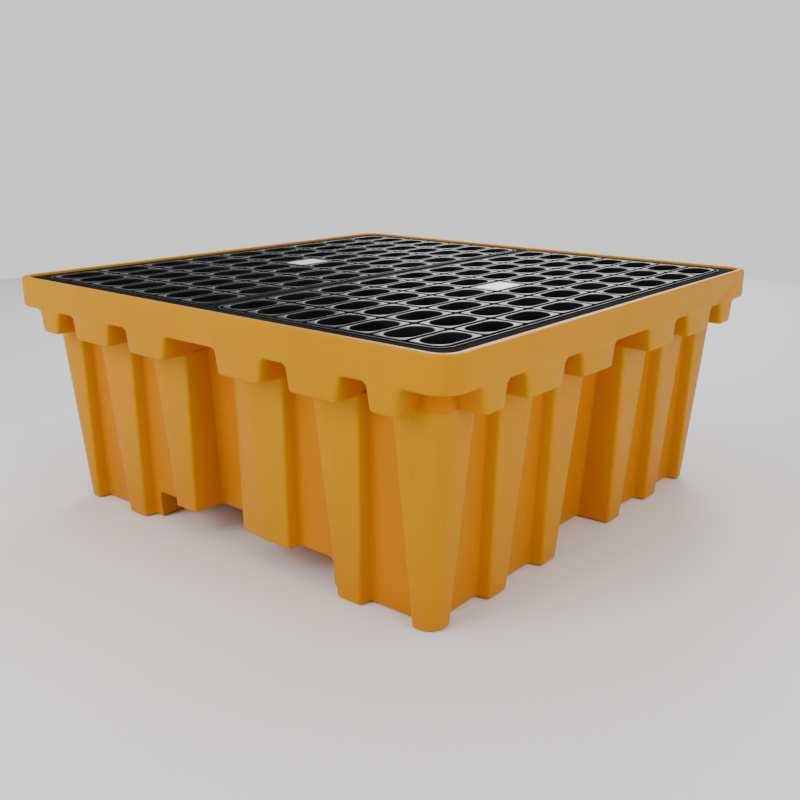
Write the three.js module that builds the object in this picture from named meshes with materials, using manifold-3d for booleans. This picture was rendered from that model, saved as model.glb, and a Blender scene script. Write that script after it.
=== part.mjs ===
// Spill containment pallet for one intermediate bulk container (IBC).
// A thin-walled moulded sump tub with a corrugated wall and a castellated rim carries two lift-out
// grates side by side. Loose tubular posts stand on the tub's floor and hold the grates up.
// Units are millimetres, +Z is up, and the origin is on the floor below the middle of the tub.
// The two faces across Y carry the fork channel, and the grates meet along the Y axis.
import * as THREE from "three";
import { mergeVertices } from "three/addons/utils/BufferGeometryUtils.js";
import Module from "manifold-3d";

// ---------------------------------------------------------------- driving dimensions
const GAP = 0.3; // left between pieces that touch
const RIM_WIDTH = 1600; // rim, outside to outside, both ways
const RIM_TOP = 693;
const RIM_CORNER_RADIUS = 60;
const RIM_EDGE_RADIUS = 12; // rounding along the rim's top outer edge
const BAND_HEIGHT = 87; // plain band around the rim, above the notches
const LIP_WIDTH = 20; // thick lip that the grates drop inside
const LIP_HEIGHT = 16;
const TAB_HEIGHT = 64; // tabs below the band
const TAB_DRAFT = 12; // how much a tab narrows on each side over its height
const SKIN = 8; // moulded wall thickness

// Where the tabs and ribs start and end along a face, out from the middle of the face.
const TAB_EDGES = [
  [95, 264],
  [339, 509],
  [581, 675],
];
const RIB_EDGES_AT_FLOOR = [
  [150, 221],
  [390, 464],
];
const COLUMN_EDGE_AT_FLOOR = 627; // inner edge of a corner column

// How far each plane of the wall stands back from the rim's outer face.
const SETBACKS_AT_TOP = { rib: 74, recess: 109, deep: 149 };
const SETBACKS_AT_FLOOR = { rib: 110, recess: 146, deep: 210 };
const FLANK_RUN = 8; // a rib's side leans by this much
const COLUMN_RADIUS = 46;

// A shallow shoulder beside one inner rib on each fork face.
const SHOULDER_EDGE = 40;
const SHOULDER_DEPTH_AT_TOP = 32;
const SHOULDER_DEPTH_AT_FLOOR = 9;

const CHANNEL_WIDTH = 700; // fork channel, along Y through the base
const CHANNEL_HEIGHT = 84;

const POST_ROWS = [-400, 0, 400]; // places along Y
const POST_RADIUS = 50;
const POST_WALL = 7;
const POST_DRAIN_WIDTH = 24;
const POST_DRAIN_HEIGHT = 30;
const SOCKET_CLEARANCE = 2; // between a post and its socket
const SOCKET_WALL = 7;
const SOCKET_HEIGHT = 14;
const SOCKET_TO_STEP = 13; // from an outer socket to the raised floor over the channel

const GRATE_DROP = 3; // top of the grates, below the rim's top
const GRATE_CLEARANCE = 4; // from a grate to the lip
const SEAM_GAP = 4; // between the two grates
const GRATE_DEPTH = 45;
const GRATE_CORNER_RADIUS = 36;
const FRAME_WIDTH = 14; // deep frame around a grate
const FRAME_DROP = 2.5; // top of the frame, below the deck
const STEP_WIDTH = 9; // low step around the raised field of cells
const STEP_DROP = 1;
const FIELD_CORNER_RADIUS = 30;
const CELLS_ACROSS = 7;
const CELLS_ALONG = 9;
const SEAM_MARGIN = 23; // grate's edge at the seam to the first cell
const OUTER_MARGIN = 46; // last cell to the grate's outer edge
const END_MARGIN = 48; // last cell to the grate's ends
const WEB_ACROSS = 27; // solid web between two wells
const WEB_ALONG = 31;

const LABEL_WIDTH = 76;
const LABEL_LENGTH = 118;
const LABEL_THICKNESS = 1;
const LABEL_CLEARANCE = 2; // around the label, in its pocket
const LABEL_SINK = 0.3; // from the deck's top down to the label's

const ARC_STEPS = 6; // steps in a quarter turn of a rim corner
const WELL_STEPS = 4; // steps in a well's half-round end
const POST_SIDES = 24;

// ---------------------------------------------------------------- worked-out levels
const HALF = RIM_WIDTH / 2;
const BAND_BOTTOM = RIM_TOP - BAND_HEIGHT;
const TAB_BOTTOM = BAND_BOTTOM - TAB_HEIGHT;
const SHELF_TOP = BAND_BOTTOM + SKIN; // the grates' frames rest here
const CHANNEL_FLOOR = CHANNEL_HEIGHT + SKIN; // sump floor above the fork channel
const DECK_TOP = RIM_TOP - GRATE_DROP;
const SOCKET_RADIUS = POST_RADIUS + SOCKET_CLEARANCE + SOCKET_WALL;
const OUTER_POST_X = CHANNEL_WIDTH / 2 + SKIN + SOCKET_TO_STEP + SOCKET_RADIUS;
const MERGE = 4; // how far joined solids run into each other

// ---------------------------------------------------------------- solids
const wasm = await Module();
wasm.setup();

function toSolid(geometry) {
  const bare = geometry.index ? geometry.toNonIndexed() : geometry.clone();
  bare.deleteAttribute("normal");
  bare.deleteAttribute("uv");
  const merged = mergeVertices(bare, 1e-4);
  return new wasm.Manifold(
    new wasm.Mesh({
      numProp: 3,
      vertProperties: merged.attributes.position.array,
      triVerts: new Uint32Array(merged.index.array),
    }),
  );
}

function toGeometry(solid) {
  const mesh = solid.getMesh();
  const geometry = new THREE.BufferGeometry();
  const places = new Float32Array(mesh.numVert * 3);
  for (let vertex = 0; vertex < mesh.numVert; vertex += 1) {
    for (let axis = 0; axis < 3; axis += 1) {
      places[vertex * 3 + axis] = mesh.vertProperties[vertex * mesh.numProp + axis];
    }
  }
  geometry.setAttribute("position", new THREE.BufferAttribute(places, 3));
  geometry.setIndex(new THREE.BufferAttribute(new Uint32Array(mesh.triVerts), 1));
  geometry.computeVertexNormals();
  return geometry;
}

const joined = (solids) => solids.reduce((whole, solid) => whole.add(solid));

function box(low, high) {
  const geometry = new THREE.BoxGeometry(high[0] - low[0], high[1] - low[1], high[2] - low[2]);
  geometry.translate((low[0] + high[0]) / 2, (low[1] + high[1]) / 2, (low[2] + high[2]) / 2);
  return toSolid(geometry);
}

// A closed skin over a stack of outlines, each {z, points}, all with the same number of points.
function loft(stack) {
  const count = stack[0].points.length;
  const places = stack.flatMap(({ z, points }) => points.flatMap((p) => [p.x, p.y, z]));
  const faces = [];
  for (const [a, b, c] of THREE.ShapeUtils.triangulateShape(stack[0].points, [])) {
    faces.push(c, b, a);
  }
  for (let level = 0; level + 1 < stack.length; level += 1) {
    for (let i = 0; i < count; i += 1) {
      const here = level * count + i;
      const next = level * count + ((i + 1) % count);
      faces.push(here, next, next + count, here, next + count, here + count);
    }
  }
  const last = (stack.length - 1) * count;
  for (const [a, b, c] of THREE.ShapeUtils.triangulateShape(stack.at(-1).points, [])) {
    faces.push(last + a, last + b, last + c);
  }
  const geometry = new THREE.BufferGeometry();
  geometry.setAttribute("position", new THREE.Float32BufferAttribute(places, 3));
  geometry.setIndex(faces);
  return toSolid(geometry);
}

const prism = (points, low, high) => loft([{ z: low, points }, { z: high, points }]);

// ---------------------------------------------------------------- outlines
function arcPoints(centreX, centreY, radius, startAngle, steps) {
  return Array.from({ length: steps + 1 }, (_, i) => {
    const angle = startAngle + ((Math.PI / 2) * i) / steps;
    return new THREE.Vector2(centreX + radius * Math.cos(angle), centreY + radius * Math.sin(angle));
  });
}

// A square with rounded corners, anticlockwise, centred on the origin.
function roundedSquare(half, radius) {
  const centre = half - radius;
  return [
    ...arcPoints(centre, centre, radius, 0, ARC_STEPS),
    ...arcPoints(-centre, centre, radius, Math.PI / 2, ARC_STEPS),
    ...arcPoints(-centre, -centre, radius, Math.PI, ARC_STEPS),
    ...arcPoints(centre, -centre, radius, -Math.PI / 2, ARC_STEPS),
  ];
}

// The shape of the wall at one level: the ribs' edges and how far out each plane stands.
function wallLevel(setbacks, ribs, column, shoulderDepth) {
  return {
    ribs,
    column,
    shoulderDepth,
    shoulder: SHOULDER_EDGE,
    rib: HALF - setbacks.rib,
    recess: HALF - setbacks.recess,
    deep: HALF - setbacks.deep,
    radius: COLUMN_RADIUS,
  };
}

const tabFoot = ([inner, outer]) => [inner + TAB_DRAFT, outer - TAB_DRAFT];

const LEVEL_TOP = wallLevel(
  SETBACKS_AT_TOP,
  TAB_EDGES.slice(0, 2).map(tabFoot),
  tabFoot(TAB_EDGES[2])[0],
  SHOULDER_DEPTH_AT_TOP,
);
const LEVEL_FLOOR = wallLevel(
  SETBACKS_AT_FLOOR,
  RIB_EDGES_AT_FLOOR,
  COLUMN_EDGE_AT_FLOOR,
  SHOULDER_DEPTH_AT_FLOOR,
);

// The same level, one skin further in: bumps get narrower and every plane moves inwards.
function inwards(level) {
  return {
    ...level,
    ribs: level.ribs.map(([inner, outer]) => [inner + SKIN, outer - SKIN]),
    column: level.column + SKIN,
    shoulder: level.shoulder + SKIN,
    rib: level.rib - SKIN,
    recess: level.recess - SKIN,
    deep: level.deep - SKIN,
    radius: level.radius - SKIN,
  };
}

// Half of one face's outline as [along, out] pairs, from the middle of the face to its corner.
function halfFace(level, hasRibs, hasShoulder) {
  const [innerRib, outerRib] = level.ribs;
  const { rib, recess, deep, column } = level;
  const points = [];
  if (hasRibs && hasShoulder) {
    points.push([level.shoulder - FLANK_RUN, deep], [level.shoulder, rib - level.shoulderDepth]);
    points.push([innerRib[0], rib]);
  } else {
    points.push([innerRib[0] - FLANK_RUN, deep], [innerRib[0], hasRibs ? rib : recess]);
  }
  if (hasRibs) {
    points.push([innerRib[1], rib], [innerRib[1] + FLANK_RUN, recess]);
    points.push([outerRib[0] - FLANK_RUN, recess], [outerRib[0], rib]);
    points.push([outerRib[1], rib], [outerRib[1] + FLANK_RUN, recess]);
  }
  points.push([column - FLANK_RUN, recess], [column, rib]);
  return points;
}

// The wall's whole outline at one level, anticlockwise. Faces across Y have the shoulder.
function wallOutline(level, hasRibs = true) {
  const cornerCentre = level.rib - level.radius;
  const outline = [];
  for (let face = 0; face < 4; face += 1) {
    const hasShoulder = face % 2 === 0;
    const turn = (Math.PI / 2) * face;
    const left = halfFace(level, hasRibs, false).reverse();
    const right = halfFace(level, hasRibs, hasShoulder);
    const along = [...left.map(([u, out]) => [-u, out]), ...right];
    const facePoints = along.map(([u, out]) => new THREE.Vector2(u, -out));
    facePoints.push(...arcPoints(cornerCentre, -cornerCentre, level.radius, -Math.PI / 2, 4));
    outline.push(...facePoints.map((point) => point.rotateAround(new THREE.Vector2(), turn)));
  }
  return outline;
}

// ---------------------------------------------------------------- sump tub
// One tab as a tapered block on each face, or the hollow inside it when inset is a skin.
function tabBlocks(inset, low, high, reach) {
  const blocks = [];
  for (const [inner, outer] of TAB_EDGES) {
    for (const side of [-1, 1]) {
      for (let face = 0; face < 4; face += 1) {
        blocks.push(tabBlock(inner, outer, side, face, { inset, low, high, reach }));
      }
    }
  }
  return joined(blocks);
}

function tabBlock(inner, outer, side, face, { inset, low, high, reach }) {
  const outline = (z) => {
    const draft = (TAB_DRAFT * Math.max(0, BAND_BOTTOM - z)) / TAB_HEIGHT;
    const edges = [inner + draft + inset, outer - draft - inset].map((u) => side * u);
    const [start, end] = edges.sort((a, b) => a - b);
    const corners = [
      [start, -HALF + inset],
      [end, -HALF + inset],
      [end, -reach],
      [start, -reach],
    ];
    const turn = (Math.PI / 2) * face;
    return corners.map(([x, y]) => new THREE.Vector2(x, y).rotateAround(new THREE.Vector2(), turn));
  };
  return loft([low, BAND_BOTTOM, high].map((z) => ({ z, points: outline(z) })));
}

function tubOutside() {
  const wall = loft([
    { z: 0, points: wallOutline(LEVEL_FLOOR) },
    { z: TAB_BOTTOM, points: wallOutline(LEVEL_TOP) },
  ]);
  const neck = prism(wallOutline(LEVEL_TOP, false), TAB_BOTTOM - MERGE, BAND_BOTTOM + MERGE);
  const tabs = tabBlocks(0, TAB_BOTTOM, BAND_BOTTOM + MERGE, LEVEL_TOP.deep - MERGE);
  const rounding = [0, 30, 60, 90].map((degrees) => {
    const angle = THREE.MathUtils.degToRad(degrees);
    const inset = RIM_EDGE_RADIUS * (1 - Math.cos(angle));
    const z = RIM_TOP - RIM_EDGE_RADIUS * (1 - Math.sin(angle));
    return { z, points: roundedSquare(HALF - inset, RIM_CORNER_RADIUS - inset) };
  });
  const band = loft([
    { z: BAND_BOTTOM, points: roundedSquare(HALF, RIM_CORNER_RADIUS) },
    ...rounding,
  ]);
  return joined([wall, neck, tabs, band]);
}

function tubHollow() {
  const floorLevel = inwards(LEVEL_FLOOR);
  const topLevel = inwards(LEVEL_TOP);
  const blendHeight = TAB_BOTTOM + SKIN + MERGE;
  const overLegs = loft([
    { z: SKIN, points: wallOutline(floorLevel) },
    { z: TAB_BOTTOM, points: wallOutline(topLevel) },
  ]);
  const intoTabs = prism(wallOutline(topLevel), TAB_BOTTOM - MERGE, blendHeight);
  const neck = prism(wallOutline(topLevel, false), TAB_BOTTOM - MERGE, SHELF_TOP + MERGE);
  const tabs = tabBlocks(SKIN, TAB_BOTTOM + SKIN, SHELF_TOP + MERGE, topLevel.deep - MERGE);
  const band = prism(
    roundedSquare(HALF - SKIN, RIM_CORNER_RADIUS - SKIN),
    SHELF_TOP,
    RIM_TOP - LIP_HEIGHT,
  );
  const mouth = prism(
    roundedSquare(HALF - LIP_WIDTH, RIM_CORNER_RADIUS - LIP_WIDTH),
    RIM_TOP - LIP_HEIGHT - MERGE,
    RIM_TOP + MERGE,
  );
  const raised = CHANNEL_WIDTH / 2 + SKIN;
  const overChannel = box([-raised, -HALF, 0], [raised, HALF, CHANNEL_FLOOR]);
  return joined([overLegs, intoTabs, neck, tabs, band, mouth]).subtract(overChannel);
}

// ---------------------------------------------------------------- posts and their sockets
function tube(outerRadius, innerRadius, low, high, sides) {
  const profile = [
    new THREE.Vector2(innerRadius, low),
    new THREE.Vector2(outerRadius, low),
    new THREE.Vector2(outerRadius, high),
    new THREE.Vector2(innerRadius, high),
    new THREE.Vector2(innerRadius, low),
  ];
  const geometry = new THREE.LatheGeometry(profile, sides);
  geometry.rotateX(Math.PI / 2);
  return toSolid(geometry);
}

// Every post: its place, the sump floor below it and the underside of the grate above it.
function postPlaces() {
  const places = [];
  const columns = [
    { side: "left", x: -OUTER_POST_X, floor: SKIN, head: DECK_TOP - GRATE_DEPTH },
    { side: "centre", x: 0, floor: CHANNEL_FLOOR, head: SHELF_TOP + GAP },
    { side: "right", x: OUTER_POST_X, floor: SKIN, head: DECK_TOP - GRATE_DEPTH },
  ];
  for (const column of columns) {
    for (const [row, y] of POST_ROWS.entries()) {
      places.push({ ...column, y, name: `support_post_${column.side}_${row + 1}` });
    }
  }
  return places;
}

function socket({ x, y, floor }) {
  const inner = SOCKET_RADIUS - SOCKET_WALL;
  const ring = tube(SOCKET_RADIUS, inner, floor - MERGE, floor + SOCKET_HEIGHT, POST_SIDES);
  return ring.translate([x, y, 0]);
}

function supportPost({ floor, head }) {
  const foot = floor + GAP;
  const barrel = tube(POST_RADIUS, POST_RADIUS - POST_WALL, foot, head - GAP, POST_SIDES);
  const half = POST_DRAIN_WIDTH / 2;
  const top = foot + POST_DRAIN_HEIGHT;
  const drain = box([-POST_RADIUS - MERGE, -half, foot - MERGE], [POST_RADIUS + MERGE, half, top]);
  return barrel.subtract(drain);
}

function sumpTub() {
  const shell = tubOutside().subtract(tubHollow());
  const half = CHANNEL_WIDTH / 2;
  const channel = box([-half, -HALF, -MERGE], [half, HALF, CHANNEL_HEIGHT]);
  return joined([shell.subtract(channel), ...postPlaces().map(socket)]);
}

// ---------------------------------------------------------------- grates
const GRATE_OUTER = HALF - LIP_WIDTH - GRATE_CLEARANCE;
const CELL_WIDTH = (GRATE_OUTER - SEAM_GAP / 2 - SEAM_MARGIN - OUTER_MARGIN) / CELLS_ACROSS;
const CELL_LENGTH = (2 * (GRATE_OUTER - END_MARGIN)) / CELLS_ALONG;

function cellCentre(column, row) {
  return new THREE.Vector2(
    SEAM_GAP / 2 + SEAM_MARGIN + CELL_WIDTH * (column + 0.5),
    CELL_LENGTH * (row - (CELLS_ALONG - 1) / 2),
  );
}

const LABEL_COLUMN = (CELLS_ACROSS - 1) / 2;
const LABEL_ROW = (CELLS_ALONG - 1) / 2;
const LABEL_CENTRE = cellCentre(LABEL_COLUMN, LABEL_ROW);
const POCKET_FLOOR = DECK_TOP - LABEL_SINK - LABEL_THICKNESS - GAP;


// A straight slot with half-round ends, running along Y.
function wellOutline(centre) {
  const radius = (CELL_WIDTH - WEB_ACROSS) / 2;
  const reach = (CELL_LENGTH - WEB_ALONG) / 2 - radius;
  const points = [];
  for (const end of [1, -1]) {
    for (let i = 0; i <= WELL_STEPS; i += 1) {
      const angle = (Math.PI * i) / WELL_STEPS + (end < 0 ? Math.PI : 0);
      const x = centre.x + radius * Math.cos(angle);
      points.push(new THREE.Vector2(x, centre.y + end * reach + radius * Math.sin(angle)));
    }
  }
  return points;
}

// A grate's outline, moved in by inset. It lies on the +X side of the seam.
function grateOutline(inset) {
  const left = SEAM_GAP / 2 + inset;
  const right = GRATE_OUTER - inset;
  return roundedRectangle(left, right, GRATE_OUTER - inset, GRATE_CORNER_RADIUS - inset);
}

// The outline of the raised field of cells, moved out by margin.
function fieldOutline(margin) {
  const left = SEAM_GAP / 2 + SEAM_MARGIN - margin;
  const right = GRATE_OUTER - OUTER_MARGIN + margin;
  return roundedRectangle(left, right, GRATE_OUTER - END_MARGIN + margin, FIELD_CORNER_RADIUS + margin);
}

function roundedRectangle(left, right, end, radius) {
  return [
    ...arcPoints(right - radius, end - radius, radius, 0, ARC_STEPS),
    ...arcPoints(left + radius, end - radius, radius, Math.PI / 2, ARC_STEPS),
    ...arcPoints(left + radius, -end + radius, radius, Math.PI, ARC_STEPS),
    ...arcPoints(right - radius, -end + radius, radius, -Math.PI / 2, ARC_STEPS),
  ];
}

// The wells of every cell, apart from the solid middle one.
function wells(low, high) {
  const solids = [];
  for (let column = 0; column < CELLS_ACROSS; column += 1) {
    for (let row = 0; row < CELLS_ALONG; row += 1) {
      const isLabelCell = column === LABEL_COLUMN && row === LABEL_ROW;
      if (!isLabelCell) solids.push(prism(wellOutline(cellCentre(column, row)), low, high));
    }
  }
  return joined(solids);
}

function grate() {
  const underside = DECK_TOP - GRATE_DEPTH;
  const plate = joined([
    prism(grateOutline(0), underside, DECK_TOP - FRAME_DROP),
    prism(fieldOutline(STEP_WIDTH), underside, DECK_TOP - STEP_DROP),
    prism(fieldOutline(0), underside, DECK_TOP),
  ]);
  const frame = prism(grateOutline(0), SHELF_TOP + GAP, underside + MERGE).subtract(
    prism(grateOutline(FRAME_WIDTH), SHELF_TOP, underside),
  );
  return plate.add(frame).subtract(wells(underside - MERGE, DECK_TOP + MERGE)).subtract(labelPocket());
}

// The shallow pocket in the middle cell that the label lies in.
function labelPocket() {
  const [x, y] = [LABEL_WIDTH / 2 + LABEL_CLEARANCE, LABEL_LENGTH / 2 + LABEL_CLEARANCE];
  const { x: cx, y: cy } = LABEL_CENTRE;
  return box([cx - x, cy - y, POCKET_FLOOR], [cx + x, cy + y, DECK_TOP + MERGE]);
}

function label() {
  const half = [LABEL_WIDTH / 2, LABEL_LENGTH / 2];
  return box([-half[0], -half[1], 0], [half[0], half[1], LABEL_THICKNESS]);
}

// ---------------------------------------------------------------- assembly
const plastic = (color, roughness) => {
  return new THREE.MeshStandardMaterial({ color, roughness, metalness: 0 });
};
const YELLOW_PLASTIC = plastic(0xe0a018, 0.45);
const BLACK_PLASTIC = plastic(0x1c1b1e, 0.4);
const GREY_PLASTIC = plastic(0x2c2c2e, 0.6);
const LABEL_FILM = plastic(0xf2f2f0, 0.35);

function piece(name, solid, material) {
  const mesh = new THREE.Mesh(toGeometry(solid), material);
  mesh.name = name;
  return mesh;
}

const pallet = new THREE.Group();
pallet.add(piece("sump_tub", sumpTub(), YELLOW_PLASTIC));

for (const place of postPlaces()) {
  const post = piece(place.name, supportPost(place), GREY_PLASTIC);
  post.position.set(place.x, place.y, 0);
  pallet.add(post);
}

// The left-hand grate and label are the right-hand ones turned half round.
for (const [side, turn] of [["right", 0], ["left", Math.PI]]) {
  const half = new THREE.Group();
  half.rotation.z = turn;
  half.add(piece(`deck_grate_${side}`, grate(), BLACK_PLASTIC));
  const plate = piece(`label_${side}`, label(), LABEL_FILM);
  plate.position.set(LABEL_CENTRE.x, LABEL_CENTRE.y, POCKET_FLOOR + GAP);
  half.add(plate);
  pallet.add(half);
}

export default pallet;
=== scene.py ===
"""Spill containment pallet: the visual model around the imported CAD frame. Metres, +Z up."""
import math

import bmesh
import bpy
from mathutils import Matrix, Vector


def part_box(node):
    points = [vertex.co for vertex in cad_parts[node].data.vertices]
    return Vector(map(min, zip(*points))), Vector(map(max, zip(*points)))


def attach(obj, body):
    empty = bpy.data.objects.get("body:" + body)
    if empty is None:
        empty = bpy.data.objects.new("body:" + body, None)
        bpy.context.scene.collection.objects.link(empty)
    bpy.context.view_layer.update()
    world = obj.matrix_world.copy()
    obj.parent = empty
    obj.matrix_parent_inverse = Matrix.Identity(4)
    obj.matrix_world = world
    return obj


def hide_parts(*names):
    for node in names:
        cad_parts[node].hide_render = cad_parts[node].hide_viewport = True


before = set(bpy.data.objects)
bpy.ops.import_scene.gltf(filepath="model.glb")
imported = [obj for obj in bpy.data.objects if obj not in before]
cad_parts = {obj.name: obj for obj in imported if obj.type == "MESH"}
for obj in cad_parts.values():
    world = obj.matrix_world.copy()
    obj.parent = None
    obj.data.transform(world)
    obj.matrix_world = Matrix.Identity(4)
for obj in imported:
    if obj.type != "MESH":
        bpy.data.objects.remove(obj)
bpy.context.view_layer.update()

# ---------------------------------------------------------------- sizes, from the frame
TUB_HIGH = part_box("sump_tub")[1]
GRATE_LOW, GRATE_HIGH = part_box("deck_grate_right")
LABEL_LOW, LABEL_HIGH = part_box("label_right")
HALF = TUB_HIGH.x
RIM_TOP = TUB_HIGH.z
DECK_TOP = GRATE_HIGH.z
GRATE_FOOT = GRATE_LOW.z

# ---------------------------------------------------------------- sizes the frame can't give
SKIN = 0.008
BAND_HEIGHT = 0.087
TAB_HEIGHT = 0.064
BAND_BOTTOM = RIM_TOP - BAND_HEIGHT
TAB_BOTTOM = BAND_BOTTOM - TAB_HEIGHT
SHELF_TOP = BAND_BOTTOM + SKIN
TAB_DRAFT = 0.012
LIP_WIDTH = 0.020
LIP_HEIGHT = 0.016
RIM_CORNER = 0.060
RIM_CORNER_STEPS = 10
RIM_ROUND = 0.007  # rounding of the rim's top edge
RIM_ROUND_STEPS = 6
MOUTH_FLARE = 0.0025  # rounding of the lip's inner edge
MOUTH_FLARE_STEPS = 5
SOFT = 0.009  # rounding of the tub's moulded edges
SOFT_STEPS = 4
SOFT_SHARE = 0.45  # the most that a rounding takes of the shorter side beside it

TAB_EDGES = [(0.095, 0.264), (0.339, 0.509), (0.581, 0.675)]
TAB_FEET = [(inner + TAB_DRAFT, outer - TAB_DRAFT) for inner, outer in TAB_EDGES]
FLANK_RUN = 0.008
COLUMN_RADIUS = 0.046
COLUMN_STEPS = 12
CHANNEL_HALF = 0.350
CHANNEL_HEIGHT = 0.084
CHANNEL_ROUND = 0.014
CHANNEL_STEPS = 4
SHOULDER_EDGE = 0.040
OVERLAP = 0.004  # how far joined solids run into each other

SOCKET_GAP = 0.002  # between a post and its socket
SOCKET_WALL = 0.007
SOCKET_HEIGHT = 0.014
SOCKET_ROUND = 0.002
SOCKET_STEPS = 48
POST_WALL = 0.007
POST_ROUND = 0.0015
POST_STEPS = 64
RING_CORNER_STEPS = 3  # steps in a quarter turn on the rims of the sockets and posts
DRAIN_HALF = 0.012  # half the width of the drain slot through a post's foot
DRAIN_TOP = 0.030  # the slot's upper end, above the foot
DRAIN_BELOW = 0.020  # how far its cutter runs below the foot
DRAIN_ROUND = 0.0119
DRAIN_STEPS = 6
DRAIN_REACH = 0.080  # half the cutter's length

LEVEL_TOP = {
    "ribs": TAB_FEET[:2],
    "column": TAB_FEET[2][0],
    "rib": HALF - 0.074,
    "recess": HALF - 0.109,
    "deep": HALF - 0.149,
    "shoulder": SHOULDER_EDGE,
    "shoulder_depth": 0.032,
    "radius": COLUMN_RADIUS,
}
LEVEL_FLOOR = {
    "ribs": [(0.150, 0.221), (0.390, 0.464)],
    "column": 0.627,
    "rib": HALF - 0.110,
    "recess": HALF - 0.146,
    "deep": HALF - 0.210,
    "shoulder": SHOULDER_EDGE,
    "shoulder_depth": 0.009,
    "radius": COLUMN_RADIUS,
}

CELLS_ACROSS = 7
CELLS_ALONG = 9
SEAM_MARGIN = 0.023
OUTER_MARGIN = 0.046
END_MARGIN = 0.048
GRATE_DEPTH = 0.045
STEP_DROP = 0.001
STEP_WIDTH = 0.009
FRAME_DROP = 0.0025
FRAME_WIDTH = 0.014
WEB_ACROSS = 0.027
WEB_ALONG = 0.031
WELL_LIP = 0.0055  # rounding around each well
WELL_LIP_STEPS = 6
WELL_TAPER = 0.003
GROOVE = 0.010  # width of the groove between two cells' pads
GROOVE_DROP = 0.008
GROOVE_ROUND = 0.0012
BAND_INSIDE = 0.003  # from the field's edge out to the raised band around it
BORDER_ROUND = 0.0015  # rounding of the band's and the frame's edges
BORDER_GAP = 0.004  # width of the gap between the band and the frame
BORDER_GAP_DROP = 0.002
PAD_CORNER = 0.009
PAD_ROUND = 0.0018
FIELD_CORNER = 0.030
GRATE_CORNER = 0.036
EDGE_STEPS = 3  # steps over the pads', the band's and the frame's edges
QUARTER = 8  # steps in a quarter turn of an outline on the grates

POCKET_MARGIN = 0.002  # between a label and its pocket's side
POCKET_ROUND = 0.0005
POCKET_CORNER = 0.008
LABEL_GAP = 0.0003  # between a label and its pocket's floor
LABEL_CORNER = 0.006
LABEL_CORNER_STEPS = 6
LABEL_ROUND = 0.0003

SHARP_ANGLE = 38  # degrees at which an edge is shaded sharp
GRATE_SHARP_ANGLE = 40
LABEL_SHARP_ANGLE = 30
MERGE = 2e-5  # points closer than this are one
NEAR = 1e-6

FIELD_LEFT = GRATE_LOW.x + SEAM_MARGIN
FIELD_RIGHT = GRATE_HIGH.x - OUTER_MARGIN
FIELD_END = GRATE_HIGH.y - END_MARGIN
CELL_WIDTH = (FIELD_RIGHT - FIELD_LEFT) / CELLS_ACROSS
CELL_LENGTH = 2 * FIELD_END / CELLS_ALONG

# ---------------------------------------------------------------- colours, and where they change
TUB_YELLOW = (0.53, 0.226, 0.0)
TUB_YELLOW_LIGHT = (0.57, 0.246, 0.0)
TUB_STREAK = (0.50, 0.200, 0.0)
TUB_SPECK = (0.40, 0.15, 0.0)
TUB_SCUFF = (0.30, 0.14, 0.012)
# painted shade: a redder yellow standing in for light bounced between the ribs, in the recesses and
# towards the floor
TUB_PAINTED_SHADE = (0.56, 0.168, 0.0)
TUB_TINT = (1.0, 0.45, 0.02, 1.0)  # of its reflections
SCUFF_TOP = 0.10  # scuffs end at this height
FLOOR_SHADE_TOP = 0.45  # painted shade: the colour deepens below this height
FOLD_SHADE_START = 0.008  # depths in a fold over which the painted shade deepens
FOLD_SHADE_END = 0.040
FOLD_STEP = 0.001  # height over which the ribs give way to the tabs
GRATE_BLACK = (0.006, 0.006, 0.007)
GRATE_BLACK_LIGHT = (0.011, 0.011, 0.013)
GRATE_WORN = (0.045, 0.045, 0.050)
POLISH_START = 0.0024  # drops below the deck's top over which the pads' polish sets in
POLISH_END = 0.0006
POST_GREY = (0.022, 0.022, 0.024)
POST_GREY_LIGHT = (0.036, 0.036, 0.038)
LABEL_WHITE = (0.84, 0.84, 0.83)
LABEL_GRUBBY = (0.62, 0.61, 0.59)
FLOOR_PALE = (0.88, 0.88, 0.88)
FLOOR_PALER = (0.90, 0.90, 0.90)

# ---------------------------------------------------------------- stage
FLOOR_RADIUS = 5.2
FLOOR_STEPS = 96
FLOOR_DROP = 0.0005
SKY_LOW, SKY_HIGH = 0.12, 0.22  # rise of the view direction over which the sky fades
SKY_LOW_STRENGTH, SKY_HIGH_STRENGTH = 1.0, 0.35
AIM = (0.0, 0.0, 0.4)
LIGHTS = [  # name, place, what it points at, width and height, watts
    ("key", (-1.2, -4.8, 3.0), AIM, (3.0, 3.0), 160),
    ("fill", (4.8, -1.0, 2.6), AIM, (3.0, 3.0), 100),
    ("top", (0.0, 0.0, 4.6), (0.0, 0.0, 0.0), (6.0, 6.0), 170),
    ("back", (-2.4, 5.0, 3.0), (0.2, 0.0, RIM_TOP), (3.2, 2.0), 170),
]

# ---------------------------------------------------------------- camera, solved from the photo
VIEW_AZIMUTH = 39.456  # degrees, from -Y towards +X
VIEW_ELEVATION = 16.051
VIEW_ROLL = 0.223
VIEW_DISTANCE = 1.9442  # this and the two shifts are shares of the rim's width
VIEW_ACROSS = 0.0101
VIEW_UP = 0.1708
SENSOR_WIDTH = 36.0
LENS = 42.886
CLIP_START = 0.05


# ---------------------------------------------------------------- mesh helpers
def new_object(name, data):
    obj = bpy.data.objects.new(name, data)
    bpy.context.scene.collection.objects.link(obj)
    return obj


def mesh_from(name, verts, faces):
    mesh = bpy.data.meshes.new(name)
    mesh.from_pydata(verts, [], faces)
    mesh.update()
    return mesh


def tidy_mesh(mesh):
    """Merges points in one place and turns every face outwards."""
    work = bmesh.new()
    work.from_mesh(mesh)
    bmesh.ops.remove_doubles(work, verts=work.verts, dist=MERGE)
    bmesh.ops.recalc_face_normals(work, faces=work.faces)
    work.to_mesh(mesh)
    work.free()


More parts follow.
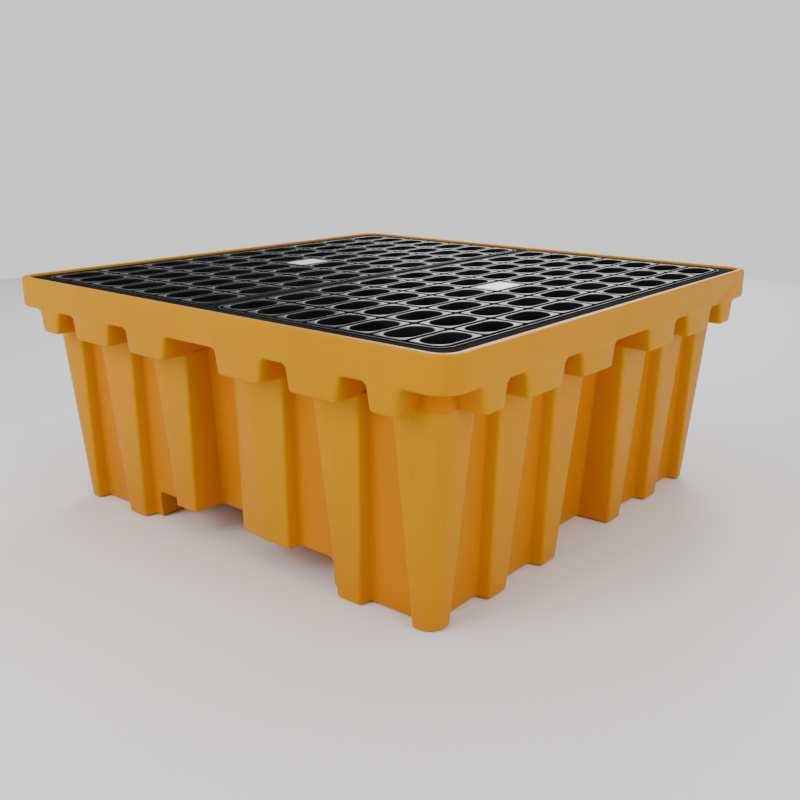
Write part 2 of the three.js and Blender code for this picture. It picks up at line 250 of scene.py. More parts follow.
def loft(name, stack):
    """A closed solid over (z, outline) levels, each outline anticlockwise with the same count."""
    count = len(stack[0][1])
    verts = [(x, y, z) for z, outline in stack for x, y in outline]
    faces = [tuple(reversed(range(count)))]
    for level in range(len(stack) - 1):
        base = level * count
        for i in range(count):
            j = (i + 1) % count
            faces.append((base + i, base + j, base + count + j, base + count + i))
    top = (len(stack) - 1) * count
    faces.append(tuple(range(top, top + count)))
    return new_object(name, mesh_from(name, verts, faces))


def swept(name, profile, reach, axis):
    """A closed solid: (u, z) points swept from -reach to reach along X or Y."""
    count = len(profile)
    verts = []
    for end in (-reach, reach):
        verts += [(end, u, z) if axis == "X" else (u, end, z) for u, z in profile]
    faces = [tuple(range(count)), tuple(reversed(range(count, 2 * count)))]
    faces += [(i, i + count, (i + 1) % count + count, (i + 1) % count) for i in range(count)]
    obj = new_object(name, mesh_from(name, verts, faces))
    tidy_mesh(obj.data)
    return obj


def merged(name, parts):
    """Several separate solids as one object."""
    work = bmesh.new()
    for part in parts:
        work.from_mesh(part.data)
        bpy.data.objects.remove(part)
    mesh = bpy.data.meshes.new(name)
    work.to_mesh(mesh)
    work.free()
    return new_object(name, mesh)


def combine(target, tool, operation):
    """Joins or cuts target with tool, and deletes tool."""
    modifier = target.modifiers.new("join", "BOOLEAN")
    modifier.object = tool
    modifier.operation = operation
    modifier.solver = "MANIFOLD"
    graph = bpy.context.evaluated_depsgraph_get()
    mesh = bpy.data.meshes.new_from_object(target.evaluated_get(graph))
    target.modifiers.clear()
    target.data = mesh
    bpy.data.objects.remove(tool)


def fuse(target, *tools):
    for tool in tools:
        combine(target, tool, "UNION")


def carve(target, *tools):
    for tool in tools:
        combine(target, tool, "DIFFERENCE")


def smooth(obj, degrees=SHARP_ANGLE):
    mesh = obj.data
    mesh.shade_smooth()
    mesh.set_sharp_from_angle(angle=math.radians(degrees))


# ---------------------------------------------------------------- outlines
def arc(cx, cy, radius, start, steps):
    """A quarter turn, anticlockwise from start degrees."""
    points = []
    for i in range(steps + 1):
        angle = math.radians(start + 90 * i / steps)
        points.append((cx + radius * math.cos(angle), cy + radius * math.sin(angle)))
    return points


def rounded_rectangle(low, high, radius, steps):
    (x0, y0), (x1, y1) = low, high
    return (
        arc(x1 - radius, y1 - radius, radius, 0, steps)
        + arc(x0 + radius, y1 - radius, radius, 90, steps)
        + arc(x0 + radius, y0 + radius, radius, 180, steps)
        + arc(x1 - radius, y0 + radius, radius, 270, steps)
    )


def rounded_square(half, radius):
    return rounded_rectangle((-half, -half), (half, half), radius, RIM_CORNER_STEPS)


def rounding(radius, steps=SOFT_STEPS):
    """(in, up) along a rounded edge: from its flat, at (radius, 0), to its side, at (0, radius)."""
    pairs = []
    for k in range(steps + 1):
        angle = math.radians(90 * k / steps)
        pairs.append((radius * (1 - math.sin(angle)), radius * (1 - math.cos(angle))))
    return pairs


def moved_in(level, depth):
    """The same wall, with every plane moved in by depth and every bump narrower."""
    return {
        **level,
        "ribs": [(inner + depth, outer - depth) for inner, outer in level["ribs"]],
        "column": level["column"] + depth,
        "shoulder": level["shoulder"] + depth,
        "rib": level["rib"] - depth,
        "recess": level["recess"] - depth,
        "deep": level["deep"] - depth,
        "radius": level["radius"] - depth,
    }


def half_face(level, has_ribs, has_shoulder):
    """(along, out) corners of half a face, from its middle to its corner column."""
    inner_rib, outer_rib = level["ribs"]
    rib, recess, deep, column = (level[k] for k in ("rib", "recess", "deep", "column"))
    points = []
    if has_ribs and has_shoulder:
        points.append((level["shoulder"] - FLANK_RUN, deep))
        points.append((level["shoulder"], rib - level["shoulder_depth"]))
        points.append((inner_rib[0], rib))
    else:
        points.append((inner_rib[0] - FLANK_RUN, deep))
        points.append((inner_rib[0], rib if has_ribs else recess))
    if has_ribs:
        points += [(inner_rib[1], rib), (inner_rib[1] + FLANK_RUN, recess)]
        points += [(outer_rib[0] - FLANK_RUN, recess), (outer_rib[0], rib)]
        points += [(outer_rib[1], rib), (outer_rib[1] + FLANK_RUN, recess)]
    points += [(column - FLANK_RUN, recess), (column, rib)]
    return points


def wall_outline(level, has_ribs=True):
    """The wall's whole outline, with soft vertical edges and round corner columns."""
    corner = level["rib"]
    outline = []
    for face in range(4):
        left = [(-u, out) for u, out in reversed(half_face(level, has_ribs, False))]
        right = half_face(level, has_ribs, face % 2 == 0)
        turn = Matrix.Rotation(math.radians(90 * face), 2)
        outline += [turn @ Vector((u, -out)) for u, out in left + right]
        outline.append(turn @ Vector((corner, -corner)))
    return soft_outline(outline, level["radius"], corner)


def soft_outline(outline, column_radius, corner):
    """Small fillets on the ribs and large ones on the corner columns."""
    result = []
    count = len(outline)
    for i, here in enumerate(outline):
        before = outline[i - 1] - here
        after = outline[(i + 1) % count] - here
        is_column = abs(abs(here.x) - corner) < NEAR and abs(abs(here.y) - corner) < NEAR
        if is_column:
            centre = here + (before.normalized() + after.normalized()) * column_radius
            spoke = -after.normalized()
            start = math.degrees(math.atan2(spoke.y, spoke.x))
            result += arc(centre.x, centre.y, column_radius, start, COLUMN_STEPS)
            continue
        shorter = min(before.length, after.length)
        cut = min(SOFT / math.tan(before.angle(after) / 2), SOFT_SHARE * shorter)
        start = here + before.normalized() * cut
        end = here + after.normalized() * cut
        for k in range(SOFT_STEPS + 1):
            t = k / SOFT_STEPS
            point = start * (1 - t) ** 2 + here * (2 * t * (1 - t)) + end * t * t
            result.append((point.x, point.y))
    return result


# ---------------------------------------------------------------- tub
def level_at(z):
    """The wall's level between the floor and the foot of the tabs."""
    t = z / TAB_BOTTOM

    def mix(a, b):
        return a + (b - a) * t

    level = {k: mix(LEVEL_FLOOR[k], LEVEL_TOP[k]) for k in LEVEL_FLOOR if k != "ribs"}
    pairs = zip(LEVEL_FLOOR["ribs"], LEVEL_TOP["ribs"])
    level["ribs"] = [(mix(a[0], b[0]), mix(a[1], b[1])) for a, b in pairs]
    return level


def wall_solid():
    stack = [
        (up, wall_outline(moved_in(level_at(up), depth))) for depth, up in rounding(SOFT)
    ]
    stack.append((TAB_BOTTOM, wall_outline(LEVEL_TOP)))
    stack.append((TAB_BOTTOM + SOFT, wall_outline(LEVEL_TOP)))
    return loft("wall", stack)


def tab_outline(inner, outer, z, inset, reach):
    """A tab at one height: narrower towards its foot, and flared where it meets the band."""
    draft = TAB_DRAFT * max(0.0, BAND_BOTTOM - z) / (BAND_BOTTOM - TAB_BOTTOM)
    below = BAND_BOTTOM - z
    flare = 0.0
    if 0 <= below < SOFT:
        flare = SOFT - math.sqrt(SOFT**2 - (SOFT - below) ** 2)
    elif below < 0:
        flare = SOFT
    start = inner + draft + inset - flare
    end = outer - draft - inset + flare
    front = -HALF + inset
    return (
        arc(start + SOFT, front + SOFT, SOFT, 180, SOFT_STEPS)
        + arc(end - SOFT, front + SOFT, SOFT, 270, SOFT_STEPS)
        + [(end, -reach), (start, -reach)]
    )


def placed(outline, mirror, turns):
    """An outline on the -Y face, mirrored and turned onto another face, still anticlockwise."""
    if mirror:
        outline = [(-x, y) for x, y in reversed(outline)]
    turn = Matrix.Rotation(math.radians(90 * turns), 2)
    return [tuple(turn @ Vector(p)) for p in outline]


def tab_solids(skin, low, high, reach):
    """Every tab as one object of separate solids. With a skin, the hollows inside them."""
    foot = [(depth, low + up) for depth, up in rounding(SOFT / 2 if skin else SOFT)]
    flare = [(0.0, BAND_BOTTOM - SOFT * (1 - k / SOFT_STEPS)) for k in range(SOFT_STEPS + 1)]
    levels = foot + flare + [(0.0, high)]
    parts = []
    for inner, outer in TAB_EDGES:
        for mirror in (False, True):
            for turns in range(4):
                stack = []
                for depth, z in levels:
                    outline = tab_outline(inner, outer, z, skin + depth, reach)
                    stack.append((z, placed(outline, mirror, turns)))
                parts.append(loft("tab", stack))
    return merged("tabs", parts)


def band_solid():
    stack = [
        (BAND_BOTTOM + up, rounded_square(HALF - depth, RIM_CORNER - depth))
        for depth, up in rounding(SOFT)
    ]
    for depth, down in reversed(rounding(RIM_ROUND, RIM_ROUND_STEPS)):
        stack.append((RIM_TOP - down, rounded_square(HALF - depth, RIM_CORNER - depth)))
    return loft("band", stack)


def mouth_solid():
    """The opening inside the lip, flared where the lip's inner edge is rounded."""
    half = HALF - LIP_WIDTH
    radius = RIM_CORNER - LIP_WIDTH
    stack = [(RIM_TOP - LIP_HEIGHT - OVERLAP, rounded_square(half, radius))]
    for down, out in rounding(MOUTH_FLARE, MOUTH_FLARE_STEPS):
        stack.append((RIM_TOP - down, rounded_square(half + out, radius + out)))
    top = rounded_square(half + MOUTH_FLARE, radius + MOUTH_FLARE)
    stack.append((RIM_TOP + OVERLAP, top))
    return loft("mouth", stack)


def box_solid(low, high):
    outline = [(low[0], low[1]), (high[0], low[1]), (high[0], high[1]), (low[0], high[1])]
    return loft("box", [(low[2], outline), (high[2], outline)])


def channel_cutter():
    """The fork channel along Y: soft inner corners, and soft lower edges on the legs."""
    half, top, soft = CHANNEL_HALF, CHANNEL_HEIGHT, CHANNEL_ROUND
    edge = rounding(soft, CHANNEL_STEPS)
    profile = [(-half - soft, -OVERLAP), (half + soft, -OVERLAP)]
    profile += [(half + out, up) for out, up in edge]
    profile += arc(half - soft, top - soft, soft, 0, CHANNEL_STEPS)
    profile += arc(-half + soft, top - soft, soft, 90, CHANNEL_STEPS)
    profile += [(-half - out, up) for up, out in edge]
    return swept("channel", profile, HALF + OVERLAP, "Y")


def hollow_solids():
    """What is cut out of the tub, from the sump floor to the mouth."""
    foot, top = moved_in(level_at(SKIN), SKIN), moved_in(LEVEL_TOP, SKIN)
    sump = loft("sump", [(SKIN, wall_outline(foot)), (TAB_BOTTOM, wall_outline(top))])
    raised = CHANNEL_HALF + SKIN
    carve(sump, box_solid((-raised, -HALF, 0), (raised, HALF, CHANNEL_HEIGHT + SKIN)))
    start, end = TAB_BOTTOM - OVERLAP, SHELF_TOP + OVERLAP
    into_tabs = [(z, wall_outline(top)) for z in (start, TAB_BOTTOM + SKIN + OVERLAP)]
    neck = [(z, wall_outline(top, False)) for z in (start, end)]
    band = rounded_square(HALF - SKIN, RIM_CORNER - SKIN)
    return [
        sump,
        loft("into_tabs", into_tabs),
        loft("neck", neck),
        tab_solids(SKIN, TAB_BOTTOM + SKIN, end, top["deep"] - OVERLAP),
        loft("band_hollow", [(SHELF_TOP, band), (RIM_TOP - LIP_HEIGHT, band)]),
        mouth_solid(),
    ]


def posts():
    """(name, x, y, box's low corner, box's high corner) of every support post in the frame."""
    found = []
    for name in sorted(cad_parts):
        if name.startswith("support_post"):
            low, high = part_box(name)
            found.append((name, (low.x + high.x) / 2, (low.y + high.y) / 2, low, high))
    return found


def ring_solid(name, outer, inner, low, high, soft, steps):
    """A tube with rounded rims around the Z axis."""
    profile = []
    for cx, cz, start in (
        (inner + soft, low + soft, 180),
        (outer - soft, low + soft, 270),
        (outer - soft, high - soft, 0),
        (inner + soft, high - soft, 90),
    ):
        profile += arc(cx, cz, soft, start, RING_CORNER_STEPS)
    count = len(profile)
    verts = []
    for i in range(steps):
        angle = 2 * math.pi * i / steps
        verts += [(r * math.cos(angle), r * math.sin(angle), z) for r, z in profile]
    faces = []
    for i in range(steps):
        a, b = i * count, ((i + 1) % steps) * count
        faces += [(a + k, b + k, b + (k + 1) % count, a + (k + 1) % count) for k in range(count)]
    obj = new_object(name, mesh_from(name, verts, faces))
    tidy_mesh(obj.data)
    return obj


def sump_tub():
    tub = wall_solid()
    start, end = TAB_BOTTOM - OVERLAP, BAND_BOTTOM + OVERLAP
    neck = loft("neck", [(z, wall_outline(LEVEL_TOP, False)) for z in (start, end)])
    tabs = tab_solids(0.0, TAB_BOTTOM, BAND_BOTTOM + SOFT + OVERLAP, LEVEL_TOP["deep"] - OVERLAP)
    fuse(tub, neck, tabs, band_solid())
    carve(tub, *hollow_solids(), channel_cutter())
    sockets = []
    for _, x, y, low, high in posts():
        inner = (high.x - low.x) / 2 + SOCKET_GAP
        outer = inner + SOCKET_WALL
        foot, top = low.z - OVERLAP, low.z + SOCKET_HEIGHT
        ring = ring_solid("socket", outer, inner, foot, top, SOCKET_ROUND, SOCKET_STEPS)
        ring.data.transform(Matrix.Translation((x, y, 0)))
        sockets.append(ring)
    fuse(tub, merged("sockets", sockets))
    tub.name = "tub_shell"
    smooth(tub)
    return tub


def support_post(name, x, y, low, high):
    """A tube with a drain slot through its foot."""
    outer = (high.x - low.x) / 2
    inner = outer - POST_WALL
    tube = ring_solid(name, outer, inner, low.z, high.z, POST_ROUND, POST_STEPS)
    corners = (-DRAIN_HALF, low.z - DRAIN_BELOW), (DRAIN_HALF, low.z + DRAIN_TOP)
    drain = rounded_rectangle(*corners, DRAIN_ROUND, DRAIN_STEPS)
    carve(tube, swept("slot", drain, DRAIN_REACH, "X"))
    tube.data.transform(Matrix.Translation((x, y, 0)))
    tube.name = f"visual_{name}"
    smooth(tube)
    return tube


# ---------------------------------------------------------------- grates
def cell_outline(column, row, inset, radii):
    """A cell's outline moved in by (across, along), with a radius for each corner in turn."""
    across, along = inset
    x0 = FIELD_LEFT + CELL_WIDTH * column + across
    y0 = -FIELD_END + CELL_LENGTH * row + along
    x1 = x0 + CELL_WIDTH - 2 * across
    y1 = y0 + CELL_LENGTH - 2 * along
    corners = [(x1, y1, -1, -1), (x0, y1, 1, -1), (x0, y0, 1, 1), (x1, y0, -1, 1)]
    points = []
    for k, (x, y, sx, sy) in enumerate(corners):
        points += arc(x + sx * radii[k], y + sy * radii[k], radii[k], 90 * k, QUARTER)
    return points


def outer_corners(column, row):
    """Which of a cell's corners are corners of the whole field: +X+Y, -X+Y, -X-Y, +X-Y."""
    left, right = column == 0, column == CELLS_ACROSS - 1
    front, back = row == 0, row == CELLS_ALONG - 1
    return [right and back, left and back, left and front, right and front]


def pad_levels(column, row):
    """(z, outline) rings of one cell, from its edge in the groove up to its pad's top."""
    at_corner = outer_corners(column, row)
    floor = DECK_TOP - GROOVE_DROP
    half_groove = GROOVE / 2

    def outline(inset):
        radii = [(FIELD_CORNER if big else PAD_CORNER) - inset + half_groove for big in at_corner]
        return cell_outline(column, row, (inset, inset), radii)

    levels = [(floor, cell_edge(column, row))]
    levels.append((floor, outline(half_groove - GROOVE_ROUND)))
    levels.append((floor + GROOVE_ROUND, outline(half_groove)))
    for down, depth in rounding(PAD_ROUND, EDGE_STEPS):
        levels.append((DECK_TOP - down, outline(half_groove + depth)))
    return levels


def cell_edge(column, row):
    """A cell's whole outline, rounded only where it is a corner of the field."""
    radii = [FIELD_CORNER + GROOVE / 2 if big else 0 for big in outer_corners(column, row)]
    return cell_outline(column, row, (0, 0), radii)


def well_levels(column, row):
    """Rings over the well's rounded lip, down its wall and out again below."""
    radius = (CELL_WIDTH - WEB_ACROSS) / 2

    def outline(grow):
        inset = (WEB_ACROSS / 2 - grow, WEB_ALONG / 2 - grow)
        return cell_outline(column, row, inset, [radius + grow] * 4)

    levels = [(DECK_TOP - down, outline(grow)) for grow, down in rounding(WELL_LIP, WELL_LIP_STEPS)]
    underside = DECK_TOP - GRATE_DEPTH
    return levels + [(underside, outline(-WELL_TAPER)), (underside, cell_edge(column, row))]


def pocket_levels():
    """Rings down into the shallow pocket that the label lies in."""
    levels = []
    margin, soft = POCKET_MARGIN, POCKET_ROUND
    for grow, z in ((soft, DECK_TOP), (0, DECK_TOP - soft), (0, LABEL_LOW.z - LABEL_GAP)):
        low = (LABEL_LOW.x - margin - grow, LABEL_LOW.y - margin - grow)
        high = (LABEL_HIGH.x + margin + grow, LABEL_HIGH.y + margin + grow)
        levels.append((z, rounded_rectangle(low, high, POCKET_CORNER + grow, QUARTER)))
    return levels


def add_rings(verts, faces, levels, cap=False):
    """Joins each ring to the next, and with cap closes the last one."""
    start = len(verts)
    count = len(levels[0][1])
    for z, outline in levels:
        verts += [(x, y, z) for x, y in outline]
    for level in range(len(levels) - 1):
        a = start + level * count
        for i in range(count):
            j = (i + 1) % count
            faces.append((a + i, a + j, a + count + j, a + count + i))
    if cap:
        last = start + (len(levels) - 1) * count
        faces.append(tuple(range(last, last + count)))


def border_ring(left, right, end, radius):
    """A rounded rectangle with points that match the field's edge, cell by cell."""
    xs = [FIELD_LEFT + CELL_WIDTH * k for k in range(1, CELLS_ACROSS)]
    ys = [-FIELD_END + CELL_LENGTH * k for k in range(1, CELLS_ALONG)]
    points = arc(right - radius, end - radius, radius, 0, QUARTER)
    points += [(x, end) for x in reversed(xs)]
    points += arc(left + radius, end - radius, radius, 90, QUARTER)
    points += [(left, y) for y in reversed(ys)]
    points += arc(left + radius, -end + radius, radius, 180, QUARTER)
    points += [(x, -end) for x in xs]
    points += arc(right - radius, -end + radius, radius, 270, QUARTER)
    return points + [(right, y) for y in ys]


def border_levels():
    """Rings from the field's edge out over the band and the frame, and back below."""
    step_z, frame_z = DECK_TOP - STEP_DROP, DECK_TOP - FRAME_DROP
    groove_z, underside = DECK_TOP - GROOVE_DROP, DECK_TOP - GRATE_DEPTH
    outer = (GRATE_LOW.x, GRATE_HIGH.x, GRATE_HIGH.y, GRATE_CORNER)
    field = (FIELD_LEFT, FIELD_RIGHT, FIELD_END, FIELD_CORNER + GROOVE / 2)

    def grown(base, margin):
        left, right, end, radius = base
        return border_ring(left - margin, right + margin, end + margin, radius + margin)

    edge = rounding(BORDER_ROUND, EDGE_STEPS)
    gap_end = STEP_WIDTH + BORDER_GAP
    gap_z = frame_z - BORDER_GAP_DROP
    bevel = BORDER_ROUND / 3
    levels = [(groove_z, grown(field, 0)), (groove_z, grown(field, BAND_INSIDE))]
    levels += [(step_z - down, grown(field, BAND_INSIDE + out)) for down, out in edge]
    levels += [(step_z - down, grown(field, STEP_WIDTH - back)) for back, down in edge]
    levels.append((gap_z, grown(field, STEP_WIDTH)))
    levels.append((gap_z, grown(field, gap_end)))
    levels.append((frame_z - bevel, grown(field, gap_end)))
    levels.append((frame_z, grown(field, gap_end + bevel)))
    levels += [(frame_z - down, grown(outer, -back)) for back, down in edge]
    levels += [(GRATE_FOOT + up, grown(outer, -back)) for up, back in edge]
    levels.append((GRATE_FOOT, grown(outer, -FRAME_WIDTH)))
    levels.append((underside, grown(outer, -FRAME_WIDTH)))
    levels.append((underside, grown(field, 0)))
    return levels


def deck_grate(side):
    """Every cell and the border, built as the right grate. The left one is turned half round."""
    verts, faces = [], []
    middle = (CELLS_ACROSS // 2, CELLS_ALONG // 2)
    for column in range(CELLS_ACROSS):
        for row in range(CELLS_ALONG):
            levels = pad_levels(column, row)
            if (column, row) != middle:
                add_rings(verts, faces, levels + well_levels(column, row))
                continue
            add_rings(verts, faces, levels + pocket_levels(), cap=True)
            below = [(x, y, DECK_TOP - GRATE_DEPTH) for x, y in cell_edge(column, row)]
            faces.append(tuple(reversed(range(len(verts), len(verts) + len(below)))))
            verts += below
    add_rings(verts, faces, border_levels())
    name = f"grate_{side}"
    mesh = mesh_from(name, verts, faces)
    tidy_mesh(mesh)
    if side == "left":
        mesh.transform(Matrix.Rotation(math.pi, 4, "Z"))
    obj = new_object(name, mesh)
    smooth(obj, GRATE_SHARP_ANGLE)
    return obj


def label_plate(side):
    """A thin blank sticker with round corners."""
    low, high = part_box(f"label_{side}")
    thickness = high.z - low.z
    stack = []
    for depth, up in ((0.0, 0.0), (0.0, thickness - LABEL_ROUND), (LABEL_ROUND, thickness)):
        corners = (low.x + depth, low.y + depth), (high.x - depth, high.y - depth)
        outline = rounded_rectangle(*corners, LABEL_CORNER - depth, LABEL_CORNER_STEPS)
        stack.append((low.z + up, outline))
    obj = loft(f"blank_label_{side}", stack)
    smooth(obj, LABEL_SHARP_ANGLE)
    return obj


# ---------------------------------------------------------------- materials
class Nodes:
    """Short calls for building one material's nodes."""

    def __init__(self, name):
        self.material = bpy.data.materials.new(name)
        self.material.use_nodes = True
        self.tree = self.material.node_tree
        self.shader = self.tree.nodes["Principled BSDF"]
        self.place = self.add("ShaderNodeTexCoord").outputs["Object"]

    def add(self, kind, **values):
        node = self.tree.nodes.new(kind)
        for key, value in values.items():
            setattr(node, key, value)
        return node

    def link(self, source, target):
        self.tree.links.new(source, target)

    def split(self, vector):
        node = self.add("ShaderNodeSeparateXYZ")
        self.link(vector, node.inputs[0])
        return node

    def stretched(self, scale):
        node = self.add("ShaderNodeMapping")
        node.inputs["Scale"].default_value = scale
        self.link(self.place, node.inputs["Vector"])
        return node.outputs["Vector"]

    def noise(self, scale, detail=3.0, rough=0.5, vector=None):
        node = self.add("ShaderNodeTexNoise")
        node.inputs["Scale"].default_value = scale
        node.inputs["Detail"].default_value = detail
        node.inputs["Roughness"].default_value = rough
        self.link(vector or self.place, node.inputs["Vector"])
        return node.outputs["Fac"]

    def remap(self, value, low, high, to_low=0.0, to_high=1.0):
        node = self.add("ShaderNodeMapRange")
        node.inputs["From Min"].default_value = low
        node.inputs["From Max"].default_value = high
        node.inputs["To Min"].default_value = to_low
        node.inputs["To Max"].default_value = to_high
        self.link(value, node.inputs["Value"])
        return node.outputs["Result"]

    def math(self, operation, first, second):
        node = self.add("ShaderNodeMath", operation=operation)
        for socket, value in zip(node.inputs, (first, second)):
            if isinstance(value, (int, float)):
                socket.default_value = value
            else:
                self.link(value, socket)
        return node.outputs[0]

    def mix(self, factor, first, second):
        node = self.add("ShaderNodeMix", data_type="RGBA")
        self.link(factor, node.inputs["Factor"])
        for socket, value in ((node.inputs[6], first), (node.inputs[7], second)):
            if isinstance(value, tuple):
                socket.default_value = (*value, 1.0)
            else:
                self.link(value, socket)
        return node.outputs[2]

    def bump(self, height, strength, distance, below=None):
        node = self.add("ShaderNodeBump")
        node.inputs["Strength"].default_value = strength
        node.inputs["Distance"].default_value = distance
        self.link(height, node.inputs["Height"])
        if below is not None:
            self.link(below, node.inputs["Normal"])
        return node.outputs["Normal"]

    def soft_edges(self, radius):
        node = self.add("ShaderNodeBevel", samples=6)
        node.inputs["Radius"].default_value = radius
        return node.outputs["Normal"]


def fold_shade(n, place):
    """Painted shade: how deep a point lies behind the ribs' faces, or behind the tabs above them,
    from 0 to 1.
    """
    height = place.outputs["Z"]
    sides = [n.math("ABSOLUTE", place.outputs[axis], 0.0) for axis in ("X", "Y")]
    out = n.math("MAXIMUM", *sides)
    ribs = n.remap(height, 0.0, TAB_BOTTOM, LEVEL_FLOOR["rib"], LEVEL_TOP["rib"])
    tab_depth = HALF - LEVEL_TOP["rib"]
    tabs = n.remap(height, TAB_BOTTOM - FOLD_STEP, TAB_BOTTOM, 0.0, tab_depth)
    depth = n.math("SUBTRACT", n.math("ADD", ribs, tabs), out)
    return n.remap(depth, FOLD_SHADE_START, FOLD_SHADE_END)


def tub_plastic():
    """Rotationally moulded yellow polyethylene: satin, faintly rippled, scuffed near the floor,
    with painted shade, a redder yellow, in its recesses and towards the floor.
    """
    n = Nodes("yellow_polyethylene")
    cloud = n.remap(n.noise(2.3, 4.0), 0.35, 0.65)
    base = n.mix(cloud, TUB_YELLOW, TUB_YELLOW_LIGHT)
    streak = n.noise(5.0, 5.0, 0.6, n.stretched((9.0, 9.0, 0.7)))
    base = n.mix(n.remap(streak, 0.52, 0.72, 0.0, 0.35), base, TUB_STREAK)
    speck = n.remap(n.noise(420.0, 2.0), 0.70, 0.80, 0.0, 0.25)
    base = n.mix(speck, base, TUB_SPECK)
    place = n.split(n.place)
    low_down = n.remap(place.outputs["Z"], 0.0, SCUFF_TOP, 1.0, 0.0)
    scuffs = n.remap(n.noise(26.0, 6.0, 0.65, n.stretched((1.0, 1.0, 2.5))), 0.50, 0.68)
    dirt = n.math("MULTIPLY", n.math("MULTIPLY", scuffs, low_down), 0.30)
    base = n.mix(dirt, base, TUB_SCUFF)
    # painted shade towards the floor, where less light falls
    shade_near_floor = n.remap(place.outputs["Z"], FLOOR_SHADE_TOP, 0.0, 0.0, 0.55)
    # painted shade: the recesses behind the ribs and tabs, and the wall towards the floor, turn a
    # redder yellow
    painted_shade = n.math("MAXIMUM", fold_shade(n, place), shade_near_floor)
    base = n.mix(n.math("MULTIPLY", painted_shade, 0.80), base, TUB_PAINTED_SHADE)
    n.link(base, n.shader.inputs["Base Color"])
    rough = n.remap(n.noise(11.0, 5.0, 0.6), 0.3, 0.7, 0.36, 0.46)
    n.link(n.math("ADD", rough, n.math("MULTIPLY", dirt, 0.5)), n.shader.inputs["Roughness"])
    n.shader.inputs["IOR"].default_value = 1.48
    n.shader.inputs["Specular IOR Level"].default_value = 0.12
    n.shader.inputs["Specular Tint"].default_value = TUB_TINT
    ripple = n.bump(n.noise(7.0, 2.0), 0.35, 0.0016, n.soft_edges(0.006))
    grain = n.bump(n.noise(520.0, 2.0), 0.10, 0.0004, ripple)
    n.link(grain, n.shader.inputs["Normal"])
    return n.material


def grate_plastic():
    """Black moulded polyethylene: polished, worn pads above duller, dusty wells and grooves."""
    n = Nodes("black_polyethylene")
    cloud = n.remap(n.noise(6.0, 4.0), 0.35, 0.65)
    base = n.mix(cloud, GRATE_BLACK, GRATE_BLACK_LIGHT)
    height = n.split(n.place).outputs["Z"]
    top = n.remap(height, DECK_TOP - POLISH_START, DECK_TOP - POLISH_END)
    wear = n.remap(n.noise(34.0, 6.0, 0.7), 0.42, 0.66)
    worn = n.math("MULTIPLY", n.math("MULTIPLY", top, wear), 0.55)
    base = n.mix(worn, base, GRATE_WORN)
    n.link(base, n.shader.inputs["Base Color"])
    gloss = n.remap(n.noise(60.0, 4.0), 0.3, 0.7, 0.24, 0.36)
    dull = n.math("MULTIPLY", n.math("SUBTRACT", 1.0, top), 0.60)
    rough = n.math("ADD", n.math("ADD", gloss, dull), n.math("MULTIPLY", worn, 0.10))
    n.link(rough, n.shader.inputs["Roughness"])
    n.link(n.remap(top, 0.0, 1.0, 0.03, 0.16), n.shader.inputs["Specular IOR Level"])
    grain = n.bump(n.noise(900.0, 2.0), 0.12, 0.0003, n.soft_edges(0.0015))
    n.link(grain, n.shader.inputs["Normal"])
    return n.material


def post_plastic():
    """Extruded dark grey pipe: fine lines along its length."""
    n = Nodes("grey_polyethylene")
    lines = n.noise(40.0, 3.0, 0.5, n.stretched((30.0, 30.0, 0.6)))
    base = n.mix(n.remap(lines, 0.35, 0.65), POST_GREY, POST_GREY_LIGHT)
    n.link(base, n.shader.inputs["Base Color"])
    n.link(n.remap(n.noise(30.0), 0.3, 0.7, 0.45, 0.62), n.shader.inputs["Roughness"])
    n.link(n.bump(lines, 0.15, 0.0004), n.shader.inputs["Normal"])
    return n.material


def label_film():
    """Blank white vinyl, a little grubby and faintly wavy."""
    n = Nodes("white_vinyl")
    grub = n.remap(n.noise(70.0, 6.0, 0.7), 0.50, 0.75, 0.0, 0.6)
    n.link(n.mix(grub, LABEL_WHITE, LABEL_GRUBBY), n.shader.inputs["Base Color"])
    n.link(n.remap(n.noise(24.0), 0.3, 0.7, 0.30, 0.42), n.shader.inputs["Roughness"])
    n.link(n.bump(n.noise(38.0, 2.0), 0.2, 0.0005), n.shader.inputs["Normal"])
    return n.material


def floor_paint():
    n = Nodes("pale_floor")
    tone = n.remap(n.noise(0.8, 3.0), 0.3, 0.7)
    n.link(n.mix(tone, FLOOR_PALE, FLOOR_PALER), n.shader.inputs["Base Color"])
    n.shader.inputs["Roughness"].default_value = 0.7
    return n.material


def finish(obj, material, body, slot, *replaced):
    obj.data.materials.clear()
    obj.data.materials.append(material)
    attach(obj, body)
    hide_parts(*replaced)


# ---------------------------------------------------------------- stage
def studio_floor():
    angles = [2 * math.pi * i / FLOOR_STEPS for i in range(FLOOR_STEPS)]
    verts = [(FLOOR_RADIUS * math.cos(a), FLOOR_RADIUS * math.sin(a), 0) for a in angles]
    mesh = mesh_from("studio_floor", verts, [tuple(range(FLOOR_STEPS))])
    obj = new_object("studio_floor", mesh)
    obj.data.materials.append(floor_paint())
    obj.location.z = -FLOOR_DROP


def area_light(name, place, target, size, power):
    data = bpy.data.lights.new(name, "AREA")
    data.shape = "RECTANGLE"
    data.size, data.size_y = size
    data.energy = power
    obj = new_object(name, data)
    obj.location = place
    obj.rotation_euler = (Vector(target) - Vector(place)).to_track_quat("-Z", "Y").to_euler()


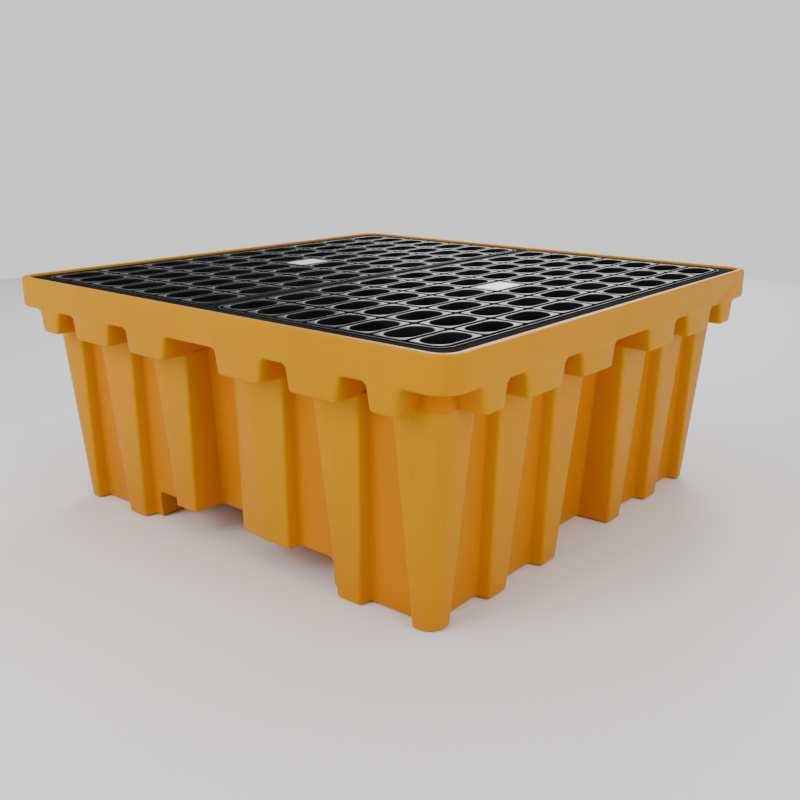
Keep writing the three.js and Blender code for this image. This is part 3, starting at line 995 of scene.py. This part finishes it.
def sky():
    """A white sky, bright near the horizon and dimmer above it."""
    world = bpy.data.worlds.new("studio")
    bpy.context.scene.world = world
    world.use_nodes = True
    background = world.node_tree.nodes["Background"]
    background.inputs["Color"].default_value = (1.0, 1.0, 1.0, 1.0)
    place = world.node_tree.nodes.new("ShaderNodeTexCoord")
    split = world.node_tree.nodes.new("ShaderNodeSeparateXYZ")
    fade = world.node_tree.nodes.new("ShaderNodeMapRange")
    fade.inputs["From Min"].default_value = SKY_LOW
    fade.inputs["From Max"].default_value = SKY_HIGH
    fade.inputs["To Min"].default_value = SKY_LOW_STRENGTH
    fade.inputs["To Max"].default_value = SKY_HIGH_STRENGTH
    links = world.node_tree.links
    links.new(place.outputs["Generated"], split.inputs[0])
    links.new(split.outputs["Z"], fade.inputs["Value"])
    links.new(fade.outputs["Result"], background.inputs["Strength"])


def camera():
    """The photo's view: from in front, to the right and above the deck."""
    azimuth, elevation = math.radians(VIEW_AZIMUTH), math.radians(VIEW_ELEVATION)
    roll = math.radians(VIEW_ROLL)
    width = 2 * HALF
    back = Vector((
        math.sin(azimuth) * math.cos(elevation),
        -math.cos(azimuth) * math.cos(elevation),
        math.sin(elevation),
    ))
    right = Vector((math.cos(azimuth), math.sin(azimuth), 0.0))
    up = back.cross(right)
    place = back * (VIEW_DISTANCE * width) + right * (VIEW_ACROSS * width) + up * (VIEW_UP * width)
    turned_right = right * math.cos(roll) + up * math.sin(roll)
    turned_up = up * math.cos(roll) - right * math.sin(roll)
    data = bpy.data.cameras.new("camera")
    data.sensor_width = SENSOR_WIDTH
    data.lens = LENS
    data.clip_start = CLIP_START
    data.dof.use_dof = False
    obj = new_object("camera", data)
    axes = Matrix((turned_right, turned_up, back)).transposed().to_4x4()
    obj.matrix_world = Matrix.Translation(place) @ axes
    bpy.context.scene.camera = obj


# ---------------------------------------------------------------- scene
camera()
sky()
for light in LIGHTS:
    area_light(*light)
studio_floor()

finish(sump_tub(), tub_plastic(), "tub", "tub_plastic", "sump_tub")
GREY = post_plastic()
for post in posts():
    finish(support_post(*post), GREY, "tub", "post_plastic", post[0])
BLACK = grate_plastic()
WHITE = label_film()
for side in ("left", "right"):
    body = f"grate_{side}"
    finish(deck_grate(side), BLACK, body, "grate_plastic", f"deck_grate_{side}")
    finish(label_plate(side), WHITE, body, "label_film", f"label_{side}")
